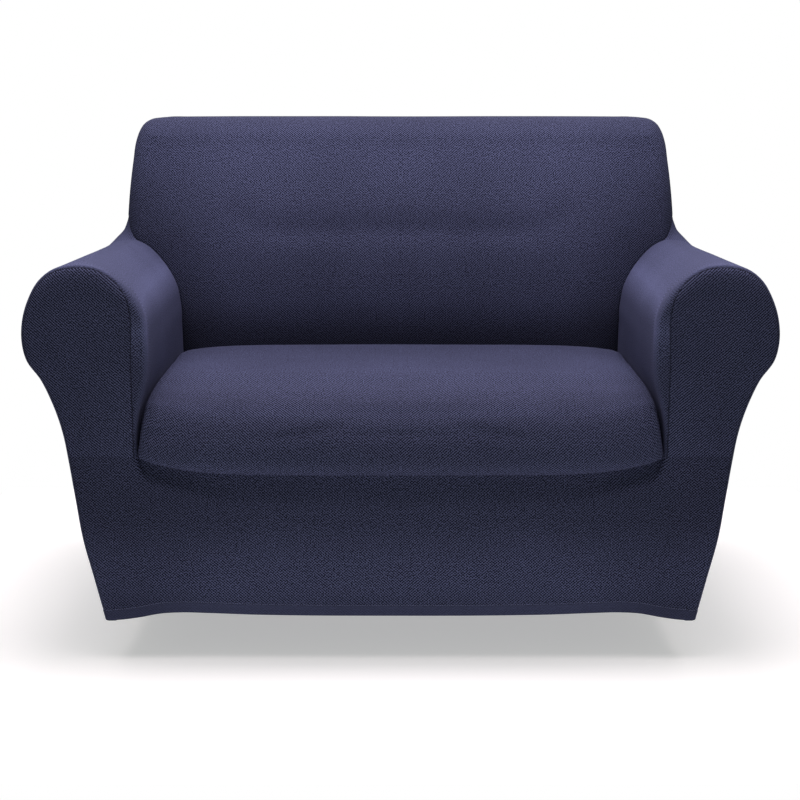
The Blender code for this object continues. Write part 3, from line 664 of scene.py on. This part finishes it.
def back_depth(x, z):
    """Depth of the inside back's face: its lean, its crown and a shallow hollow across it."""
    tuck_z = SEAT.at(SEAT_TUCK, "z")
    lean = SEAT.at(SEAT_TUCK, "depth") + (z - tuck_z) * BACK_LEAN
    height = np.clip((z - tuck_z) / (BACK_TOP - tuck_z), 0, 1)
    bulge = np.sin(np.pi * height) * (1 - np.clip(np.abs(x) / CROWN_REACH, 0, 1) ** 4)
    across = 1 - smooth(np.abs(x), DIP.inner_x, DIP.outer_x)
    dip = DIP.depth * np.exp(-(((z - DIP.z) / DIP.half_height) ** 2)) * across
    return lean - BACK_CROWN * bulge + dip


def outward(outline, turn):
    """Unit normals of an (x, z) outline; turn is +1 where it runs clockwise, seen in front."""
    along = np.gradient(outline, arc(outline[:, None], 0)[:, 0], axis=0)
    normal = np.stack((-along[:, 1], along[:, 0]), axis=-1) * turn
    return normal / np.linalg.norm(normal, axis=1, keepdims=True)


def edge_walk(edge, seam):
    """Insets and depths across the arm's front edge: those in front of the seam, then behind."""
    turn = np.linspace(0, np.pi / 2, EDGE_SAMPLES)
    insets = np.concatenate(([max(edge, seam) + CORE_MARGIN], edge * (1 - np.sin(turn)), [0.0]))
    wrap_end = SEAT.at(SEAT_CREASE, "tuck_depth")
    depths = np.concatenate(([0.0], EDGE_DEPTH * (1 - np.cos(turn)), [wrap_end]))
    lengths = np.concatenate(([0.0], np.cumsum(np.hypot(np.diff(insets), np.diff(depths)))))
    to_seam = np.interp(-seam, -insets, lengths)
    walks = (to_seam * np.array(RING_SHARES), mix(to_seam, lengths[-1], np.array(WRAP_SHARES)))
    return [(np.interp(at, lengths, insets), np.interp(at, lengths, depths)) for at in walks]


arm_knots = ARM.knots[[ARM_FOOT, ARM_INNER, ARM_RIDGE, ARM_OUTER, ARM_POST, ARM_HEM]]
arm_places = np.concatenate(
    (
        crowd(arm_knots[0], arm_knots[1], ARM_STEPS[0], at_start=SEAM_STEPS)[:-1],
        crowd(arm_knots[1], arm_knots[2], ARM_STEPS[1])[:-1],
        crowd(arm_knots[2], arm_knots[3], ARM_STEPS[2], at_start=SEAM_STEPS)[:-1],
        crowd(arm_knots[3], arm_knots[4], ARM_STEPS[3], at_end=TO_SEAM)[:-1],
        crowd(arm_knots[4], arm_knots[5], ARM_STEPS[4], at_start=SEAM_STEPS, at_end=HEM_STEPS),
    )
)
inner_row, ridge_row, outer_row, post_row = np.searchsorted(arm_places, arm_knots[1:5] - MERGE)

# The arm's outline at each depth of the tuck.
row = ARM.read(arm_places[:, None])
tuck = SEAT.read(seat_places[None, :])
share = (tuck.tuck_depth - tuck.tuck_depth[:, :1]) / np.ptp(tuck.tuck_depth)
pull = np.clip(1 - arm_places[:, None] / FOOT_PULL, 0, 1) ** 2
arm_x = mix(row.x, row.back_x, share)
arm_z = mix(row.z, row.back_z, share)
arm_x = arm_x + pull * (tuck.tuck_x - arm_x[:1])
arm_z = arm_z + pull * (tuck.tuck_z - arm_z[:1])
ridge = np.minimum(np.arange(len(arm_places)), ridge_row)
meet = back_depth(arm_x[ridge, -1], arm_z[ridge, -1])[:, None]
arm = side_points(arm_x, tuck.tuck_depth + share**3 * (meet - tuck.tuck_depth[:, -1:]), arm_z)

# Across the arm's front edge: the ring of the front face, then the wrap behind its seam.
row = ARM.read(arm_places)
outline = np.stack((row.x, row.z + hem_lift(0.0, row.z)), axis=-1)
level = 1 - smooth(row.z, 0, LIFT_LEVEL)
normals = mix(outward(outline, 1), np.array((1.0, 0.0)), level[:, None])
ring, wrap = [], []
for place, normal, edge, seam in zip(outline, normals, row.edge, row.seam):
    for grid, (inset, depth) in zip((ring, wrap), edge_walk(edge, seam)):
        x = place[0] - normal[0] * inset
        z = place[1] - normal[1] * inset
        grid.append(points(x, depth + (1 - smooth(depth, 0, EDGE_DEPTH)) * front_step(x, z), z))
ring = np.array(ring)
wrap = np.array(wrap)

# The rim of the upright back: rows up its side and along the crest, columns front to rear.
corner = BACK.knots[BACK_CORNER]
crest_places = mix(BACK.knots[-1], corner, seat_across)
heights = BACK.read(np.linspace(0, corner, SIDE_SAMPLES)).z
side_share = crowd(0, 1, BACK_SIDE_STEPS, SIDE_FOOT_STEPS, SIDE_TOP_STEPS)
turns = [(angle, 0.0) for angle in np.linspace(0, np.pi / 2, TURN_STEPS + 1)]
flats = [(np.pi / 2, reach) for reach in crowd(0, 1, FLAT_STEPS)[1:]]
rim = []
for angle, reach in turns + flats:
    low = ARM.at(ARM_RIDGE, "back_z") + RIDGE_RISE * np.sin(angle) ** 2
    side = np.interp(mix(low, heights[-1], side_share), heights, np.linspace(0, corner, SIDE_SAMPLES))
    places = np.concatenate((side, crest_places[1:]))
    row = BACK.read(places)
    ahead = BACK.read(np.minimum(places + NUDGE, BACK.knots[-1]))
    behind = BACK.read(np.maximum(places - NUDGE, 0))
    along = np.stack((ahead.x - behind.x, ahead.z - behind.z), axis=-1)
    along /= np.linalg.norm(along, axis=1, keepdims=True)
    face_x = row.x - along[:, 1] * row.turn
    face_z = row.z + along[:, 0] * row.turn
    inset = row.turn * (1 - np.sin(angle))
    face = back_depth(face_x, face_z)
    slope = (back_depth(face_x + along[:, 1] * NUDGE, face_z - along[:, 0] * NUDGE) - face) / NUDGE
    turned = face + row.turn * (1 - np.cos(angle) + slope * np.sin(angle))
    depth = mix(turned, COVER_DEPTH - REAR_TURN, reach)
    rim.append(points(row.x - along[:, 1] * inset, depth, row.z + along[:, 0] * inset))
rim_normal = np.stack((along[:, 1], -along[:, 0]), axis=-1)
rim = np.array(rim).swapaxes(0, 1)
rim[0, 0] = arm[ridge_row, -1]

# The outer arm beside the upright back, then the turn into the outside back, all the way up.
away = arm_places[ridge_row:, None] - arm_places[ridge_row]
hold = np.clip(1 - away / FILLET, 0, 1) ** 3
foot = rim[0]
beside = side_points(
    arm_x[ridge_row:, -1:] + hold * (foot[:, 0] - arm_x[ridge_row, -1]),
    foot[None, :, 1] - FRONT_Y,
    arm_z[ridge_row:, -1:] + hold * (foot[:, 2] - arm_z[ridge_row, -1]),
)
outline = np.concatenate((beside[::-1, -1], rim[1:, -1]))[:, [0, 2]]
normals = outward(outline, -1)
normals[-1] = (0.0, 1.0)
REAR_ANGLES = np.array((0.0, 0.36, 0.62, 0.80, 0.92, 1.0, 1.08, 1.20, 1.38, 1.64, 2.0)) * np.pi / 4
REAR_SEAM = 5  # of the angles above: the seam runs along the middle of the turn
rear = []
for angle in REAR_ANGLES:
    turned = outline - normals * REAR_TURN * (1 - np.cos(angle))
    rear.append(points(turned[:, 0], COVER_DEPTH - REAR_TURN * (1 - np.sin(angle)), turned[:, 1]))
rear = np.array(rear).swapaxes(0, 1)

whole_arm = np.concatenate((wrap[:, :-1], arm), axis=1)
arm_u = arc(whole_arm, 1)
arm_v = -arc(whole_arm, 0)
beside_u = arm_u[ridge_row:, -1:] + arc(beside, 1)
beside_v = arm_v[ridge_row:, -1:]
rear_arm = rear[: len(beside), : REAR_SEAM + 1][::-1]
arm_patches = [
    patch(whole_arm, arm_u, arm_v, hem=-1),
    patch(beside, beside_u, beside_v, hem=-1),
    patch(rear_arm, beside_u[:, -1:] + arc(rear_arm, 1), beside_v, hem=-1),
]

# The turned hem is held by a row of short stitches in a slightly paler thread.
STITCH = {"Spacing": 0.0040, "Length": 0.0029, "Thread": 0.0008, "Lift": 0.0003}
THREAD_COLOUR = "#6A6E8E"
BOTH_ENDS = 0.75  # the mean of an edge's two marks is over this only where both are 1


def stitch_tree():
    """Lays a stitch at even distances along the edges of a mesh that are marked as stitched."""
    tree = bpy.data.node_groups.new("hem_stitches", "GeometryNodeTree")
    sockets = {"Geometry": "Geometry", **dict.fromkeys(STITCH, "Float"), "Thread Material": "Material"}
    for word, kind in sockets.items():
        tree.interface.new_socket(word, in_out="INPUT", socket_type="NodeSocket" + kind)
    tree.interface.new_socket("Geometry", in_out="OUTPUT", socket_type="NodeSocketGeometry")
    given = node(tree, "NodeGroupInput").outputs
    normal = {0: given["Geometry"], "Name": "outward", "Value": node(tree, "GeometryNodeInputNormal")}
    kept = node(tree, "GeometryNodeStoreNamedAttribute", normal, data_type="FLOAT_VECTOR")
    marks = node(tree, "GeometryNodeInputNamedAttribute", {"Name": "stitched"}, data_type="FLOAT")
    chosen = node(tree, "FunctionNodeCompare", {0: marks, 1: BOTH_ENDS}, operation="GREATER_THAN")
    line = node(tree, "GeometryNodeMeshToCurve", {0: kept, 1: chosen})
    spaced = {"Curve": line, "Length": given["Spacing"]}
    places = node(tree, "GeometryNodeResampleCurve", spaced, mode="LENGTH")
    normal = node(tree, "GeometryNodeInputNamedAttribute", {"Name": "outward"}, data_type="FLOAT_VECTOR")
    lift = node(tree, "ShaderNodeVectorMath", {0: normal, "Scale": given["Lift"]}, operation="SCALE")
    size = node(tree, "ShaderNodeCombineXYZ", {0: given["Thread"], 1: given["Thread"], 2: given["Length"]})
    ball = node(tree, "GeometryNodeMeshIcoSphere", {"Radius": 0.5, "Subdivisions": 2})
    along = {"Vector": node(tree, "GeometryNodeInputTangent")}
    row = node(
        tree,
        "GeometryNodeInstanceOnPoints",
        {
            "Points": node(tree, "GeometryNodeSetPosition", {0: places, "Offset": lift}),
            "Instance": node(tree, "GeometryNodeTransform", {0: ball, "Scale": size}),
            "Rotation": node(tree, "FunctionNodeAlignRotationToVector", along, axis="Z"),
        },
    )
    real = node(tree, "GeometryNodeRealizeInstances", {0: row})
    dyed = node(tree, "GeometryNodeSetMaterial", {0: real, "Material": given["Thread Material"]})
    node(tree, "NodeGroupOutput", {0: dyed})
    return tree


def hem_thread():
    """Matt sewing thread, a shade paler than the knit."""
    material = bpy.data.materials.new("hem_thread")
    material.use_nodes = True
    thread = material.node_tree.nodes["Principled BSDF"]
    thread.inputs["Base Color"].default_value = linear(THREAD_COLOUR)
    thread.inputs["Roughness"].default_value = 0.8
    thread.inputs["Specular IOR Level"].default_value = 0.15
    return material


SEWING = stitch_tree()
THREAD = hem_thread()


def hem_stitches(panel):
    """The stitches of one panel's hem, as an object of their own."""
    item = in_scene(panel.name + "_stitches", panel.data)
    sewn = item.modifiers.new("stitches", "NODES")
    sewn.node_group = SEWING
    values = {**STITCH, "Thread Material": THREAD}
    for socket in SEWING.interface.items_tree:
        if socket.name in values:
            sewn[socket.identifier] = values[socket.name]
    ready = item.evaluated_get(bpy.context.evaluated_depsgraph_get())
    mesh = bpy.data.meshes.new_from_object(ready)
    item.modifiers.clear()
    item.data = mesh
    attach(item, "root")
    return item


# The stretched cloth bridges the hollow where the arm meets the side of the back, and small
# wrinkles run from there down the roll.
ARM_FOLDS = (
    ((0.581, 0.560, 0.641), (0.581, 0.900, 0.641), 0.026, 0.0075),
    ((0.560, 0.520, 0.620), (0.500, 0.380, 0.613), 0.007, 0.0012),
    ((0.540, 0.500, 0.618), (0.478, 0.400, 0.598), 0.006, -0.0011),
    ((0.485, 0.440, 0.602), (0.452, 0.300, 0.565), 0.008, 0.0013),
    ((0.470, 0.430, 0.590), (0.444, 0.330, 0.540), 0.008, -0.0012),
    ((0.448, 0.300, 0.560), (0.437, 0.230, 0.500), 0.009, 0.0012),
)
# Painted light and shade up the arm's cloth, as (place, light) pairs:
arm_painted_tones = (
    *((0.12, 0.85), (0.16, 0.92), (0.19, 1.17), (0.22, 1.62)),  # inside, up from the tuck
    *((0.25, 1.13), (0.32, 0.97), (0.38, 1.15)),  # shoulder and roll
)
# Painted sheen on the arm's top and sides, where the cloth faces away from the front.
arm_knit = knit("navy_knit_arm", -0.15, painted_sheen=0.5, painted_tones=arm_painted_tones)
SIDES = {"right": 1, "left": -1}
for word, side in SIDES.items():
    arm_cover = sewn_panel("arm_cover_" + word, arm_patches, (side,), ARM_FOLDS)
    stitches = [hem_stitches(arm_cover)]
    dress(arm_cover, "arm_panel_" + word, arm_knit)

# ---------------------------------------------------------------- the arm fronts
# A scroll-shaped piece of knit on the front of each arm, sewn all round: to the arm's panel
# over the roll, and to the skirt at its foot. It is drawn tight over the arm's flat face.
PILLOW = 0.004  # how far the middle of the front face stands out
BULGE_FULL = 0.9  # of a parabola's height: where the bulge is full


def bulge(share):
    """0 at both ends of a width, with a soft start, and 1 over its middle."""
    return smooth(4 * share * (1 - share), 0, BULGE_FULL)


def shares(line):
    """Distance along a line of points, from 0 to 1."""
    lengths = arc(line[:, None], 0)[:, 0]
    return lengths / lengths[-1]


def filled_between(bottom, top, left, right):
    """A grid of points that fills four edges; rows run from bottom to top."""
    s = shares(top)[None, :, None]
    t = shares(left)[:, None, None]
    ruled_up = mix(bottom[None], top[None], t)
    ruled_across = mix(left[:, None], right[:, None], s)
    corners = mix(mix(bottom[0], bottom[-1], s), mix(top[0], top[-1], s), t)
    return ruled_up + ruled_across - corners


def facing_patch(grid, hem=None, joined=()):
    """A stretch of cloth that faces the front or the rear, so that its x and z lie flat."""
    return patch(grid, grid[:, :, 0], grid[:, :, 2], hem, joined)


core_left = ring[: inner_row + 1, 0]
core_top = ring[inner_row : outer_row + 1, 0]
core_right = ring[outer_row : post_row + 1, 0][::-1]
core_bottom = mix(core_left[0], core_right[0], shares(core_top)[:, None])
core_bottom[:, 1] = FRONT_Y + front_step(core_bottom[:, 0], core_bottom[:, 2])
core = filled_between(core_bottom, core_top, core_left, core_right)
core[:, :, 1] -= PILLOW * bulge(shares(core_left))[:, None] * bulge(shares(core_top))[None, :]
front_patches = [
    facing_patch(ring[: post_row + 1], joined=[0, -1]),
    facing_patch(core[:, ::-1], joined=[0]),
]
front_knit = knit("navy_knit_arm_front", -0.5)
for word, side in SIDES.items():
    front_cover = sewn_panel("front_cover_" + word, front_patches, (side,))
    dress(front_cover, "arm_front_" + word, front_knit)

# ---------------------------------------------------------------- the inside back
# The front of the upright back, its crest and its two sides in one piece of knit, sewn in
# the tucks behind the seat and beside the arms, and to the outside back behind the crest.
back_side = rim[1 : len(side_share), 0]
back_ends = np.concatenate((arm[: ridge_row + 1, -1], back_side))
crest = rim[len(side_share) - 1 :, 0]
settle = smooth(np.arange(len(back_ends)), 0, ridge_row)[:, None]
reach = mix(SEAT_END.read(seat_across).reach, seat_across, settle)
rise = np.zeros((len(back_ends), 1))
rise[ridge_row:, 0] = side_share**2
face_x = back_ends[:, :1] * reach + (crest[:, 0] - crest[0, 0] * reach) * rise
face_z = back_ends[:, 2:] + (crest[:, 2] - crest[0, 2]) * rise
back_face = points(face_x, back_depth(face_x, face_z), face_z)


def beyond(edge, normal, run):
    """Places on the flat cloth of a strip that turns away from the edge of a flat face."""
    return edge[:, :1] + normal[:, :1] * run, edge[:, 1:] + normal[:, 1:] * run


rim_run = arc(rim, 1)
rear_back = rear[len(beside) - 1 :, : REAR_SEAM + 1]
rear_run = rim_run[:, -1:] + arc(rear_back, 1)
rim_u, rim_v = beyond(rim[:, 0, [0, 2]], rim_normal, rim_run)
rear_u, rear_v = beyond(rim[:, 0, [0, 2]], rim_normal, rear_run)
back_patches = [
    facing_patch(back_face),
    patch(rim[:, ::-1], rim_u[:, ::-1], rim_v[:, ::-1]),
    patch(rear_back[:, ::-1], rear_u[:, ::-1], rear_v[:, ::-1]),
]
# Two slack folds fall from the top corners and meet in a shallow hollow across the middle.
BACK_FOLDS = (
    ((0.365, 0.626, 0.690), (0.275, 0.612, 0.636), 0.026, -0.0016),
    ((0.285, 0.612, 0.634), (0.115, 0.611, 0.640), 0.020, -0.0014),
    ((0.125, 0.611, 0.640), (-0.125, 0.611, 0.640), 0.018, -0.0010),
)
back_cover = sewn_panel("back_cover", back_patches, (1, -1), BACK_FOLDS)
# Painted shade, darkest at the foot by the seat, and painted light high on the back.
back_painted_tones = ((0.40, 0.40), (0.44, 0.52), (0.50, 0.93), (0.62, 1.03), (0.80, 1.27), (0.866, 0.96))
# The inside back is darkened by painted shade towards its tucks.
back_knit = knit("navy_knit_back", -0.2, tuck=0.11, painted_tones=back_painted_tones)
dress(back_cover, "inside_back", back_knit)

# ---------------------------------------------------------------- the outside back
# One flat piece of knit behind the whole sofa. It is sewn to the inside back behind the
# crest and to both arm panels down the rear corners, and ends in the same stitched hem.
flat_rows = len(beside) - 1
rear_ends = rear[: flat_rows + len(side_share), -1]
rear_crest = rear[len(rear_ends) - 1 :, -1]
rise = np.zeros((len(rear_ends), 1))
rise[flat_rows:, 0] = side_share**2
rear_x = rear_ends[:, :1] * seat_across + (rear_crest[:, 0] - rear_crest[0, 0] * seat_across) * rise
wave = hem_lift(REAR_TURN + rear_ends[:, :1] - rear_x, rear_ends[:, 2:])
wave = wave - hem_lift(REAR_TURN, rear_ends[:, 2:])
rear_z = rear_ends[:, 2:] + wave + (rear_crest[:, 2] - rear_crest[0, 2]) * rise
rear_face = points(rear_x, COVER_DEPTH, rear_z)
rear_strip = rear[:, REAR_SEAM:][:, ::-1]
rear_patches = [
    facing_patch(rear_strip[: len(rear_ends)], hem=0),
    facing_patch(rear_strip[len(rear_ends) - 1 :]),
    facing_patch(rear_face[:, ::-1], hem=0),
]
rear_cover = sewn_panel("rear_cover", rear_patches, (1, -1))
stitches = [hem_stitches(rear_cover)]
dress(rear_cover, "outside_back", knit("navy_knit_rear", -0.1))

# ---------------------------------------------------------------- the front skirt
# The band of knit from the crease under the cushion and both arm fronts down to the hem.
# The hem is a narrow turned band, pulled down at the two corners by the stretch.

# Down a share of the skirt's drop its columns become even, the crease's depth fades out, and
# its rows turn to follow the hem.
SKIRT_SPREAD = 0.6
SKIRT_TURN = (0.5, 0.9)
CREASE_FADE = SimpleNamespace(middle=0.25, corner=0.18, inner_x=0.30, outer_x=0.42)
top = np.concatenate(
    (ring[post_row, ::-1], core[0, ::-1][1:], ring[0, 1:], wrap[0, 1:], seat[0, 1:])
)
corner_edge = ring[post_row:, ::-1]
inner = top[len(RING_SHARES) - 1 :]
even = np.linspace(1, 0, len(inner))
to_corner = smooth(inner[:, 0], CREASE_FADE.inner_x, CREASE_FADE.outer_x)
fade = mix(CREASE_FADE.middle, CREASE_FADE.corner, to_corner)
skirt = []
for edge in corner_edge:
    end = edge[-1]
    above = edge[0, 2] - corner_edge[-1, 0, 2]
    fall = 1 - above / (top[0, 2] - corner_edge[-1, 0, 2])
    reach = mix(inner[:, 0] / inner[0, 0], even, smooth(fall, 0, SKIRT_SPREAD))
    x = end[0] * reach
    hem_z = hem_lift(corner_edge[-1, 0, 0] - x, 0.0)
    z = mix(mix(inner[:, 2], hem_z, fall), hem_z + above, smooth(fall, *SKIRT_TURN))
    z[0] = end[2]
    depth = (inner[:, 1] - FRONT_Y) * (1 - smooth(fall, 0, fade))
    skirt.append(np.concatenate((edge[:-1], points(x, depth, z))))
skirt[0] = top
skirt = np.array(skirt)[:, ::-1]
skirt_patch = facing_patch(skirt, hem=-1, joined=[0])
# The band falls in a little below the cushion and the arm fronts, and comes out to the hem.
SKIRT_FOLDS = (
    ((-0.300, 0.004, 0.150), (0.300, 0.004, 0.150), 0.065, -0.0035),
    ((0.200, 0.005, 0.125), (0.600, 0.005, 0.115), 0.070, -0.0055),
)
skirt_cover = sewn_panel("skirt_cover", [skirt_patch], (1, -1), SKIRT_FOLDS)
stitches = [hem_stitches(skirt_cover)]
# Painted shade high up under the cushion and the arm fronts, lighter further down towards the hem.
skirt_painted_tones = ((0.02, 0.86), (0.06, 1.10), (0.11, 1.09), (0.18, 0.81), (0.23, 0.86), (0.27, 0.95))
# The skirt's ends are darkened by painted shade.
skirt_knit = knit("navy_knit_skirt", -0.15, painted_tones=skirt_painted_tones, painted_flanks=0.82)
dress(skirt_cover, "front_skirt", skirt_knit)

# ---------------------------------------------------------------- floor, light and camera
# A plain pale floor under the hem, that glows a little so that the underside isn't black.
# Broad soft light falls from overhead, with weak lights close over the rear of the seat and
# over each arm, one behind and one low in front.
FLOOR = SimpleNamespace(half_width=1.0, half_depth=0.95, z=-0.072, glow=0.42)
FLOOR_CORNERS = ((-1, -1), (1, -1), (1, 1), (-1, 1))
floor_mesh = bpy.data.meshes.new("floor")
floor_corners = [(x * FLOOR.half_width, y * FLOOR.half_depth, FLOOR.z) for x, y in FLOOR_CORNERS]
floor_mesh.from_pydata(floor_corners, [], [(0, 1, 2, 3)])
floor = in_scene("floor", floor_mesh)
floor_paint = bpy.data.materials.new("pale_floor")
floor_paint.use_nodes = True
paint = floor_paint.node_tree.nodes["Principled BSDF"]
paint.inputs["Base Color"].default_value = (0.8, 0.8, 0.8, 1)
paint.inputs["Emission Color"].default_value = (1, 1, 1, 1)
paint.inputs["Emission Strength"].default_value = FLOOR.glow
floor.data.materials.append(floor_paint)

TOP_TINT, FRONT_TINT = "#FFF5F8", "#FBFFF6"
scene = bpy.context.scene
world = bpy.data.worlds.new("studio")
scene.world = world
world.use_nodes = True
sky = world.node_tree
sky.nodes.clear()
seen = node(sky, "ShaderNodeLightPath").outputs["Is Camera Ray"]
ambient = node(sky, "ShaderNodeBackground", {"Color": linear(FRONT_TINT), "Strength": 0.21})
white = node(sky, "ShaderNodeBackground", {"Color": (1, 1, 1, 1), "Strength": 1.0})
both = node(sky, "ShaderNodeMixShader", {0: seen, 1: ambient, 2: white})
node(sky, "ShaderNodeOutputWorld", {"Surface": both})

# Soft lights, which don't show: place, tilt in degrees, size in metres, watts and tint.
SOFTBOXES = {
    "overhead": ((0, 0, 2.6), 0, (4, 3), 65, TOP_TINT),
    "overhead_small": ((0, 0.1, 3.0), 0, (1.6, 1.2), 37, TOP_TINT),
    "over_seat_rear": ((0, 0.10, 1.0), 0, (0.9, 0.15), 0.5, TOP_TINT),
    "over_right_arm": ((0.58, -0.36, 1.2), 0, (0.3, 0.5), 2.8, TOP_TINT),
    "over_left_arm": ((-0.58, -0.36, 1.2), 0, (0.3, 0.5), 2.8, TOP_TINT),
    "behind_high": ((0, 1.5, 1.9), -50, (2.4, 0.8), 6.6, TOP_TINT),
    "low_front": ((0, -1.7, 0.15), 90, (1.2, 0.2), 2.3, FRONT_TINT),
}
for name, (place, tilt, size, watts, tint) in SOFTBOXES.items():
    light = bpy.data.lights.new(name, "AREA")
    light.shape = "RECTANGLE"
    light.size, light.size_y = size
    light.energy = watts
    light.color = linear(tint)[:3]
    lamp = in_scene(name, light)
    lamp.location = place
    lamp.rotation_euler = (math.radians(tilt), 0, 0)
    lamp.visible_camera = False

EYE = SimpleNamespace(ahead=2.868, z=0.901, turn=80, lens=76.5, sensor=36, half_pixel=0.5 / 800)
camera = bpy.data.cameras.new("camera")
camera.sensor_width = EYE.sensor
camera.lens = EYE.lens
camera.shift_x = -EYE.half_pixel
camera.shift_y = EYE.half_pixel
eye = in_scene("camera", camera)
eye.location = (0, FRONT_Y - EYE.ahead, EYE.z)
eye.rotation_euler = (math.radians(EYE.turn), 0, 0)
scene.camera = eye
scene.view_settings.view_transform = "Standard"
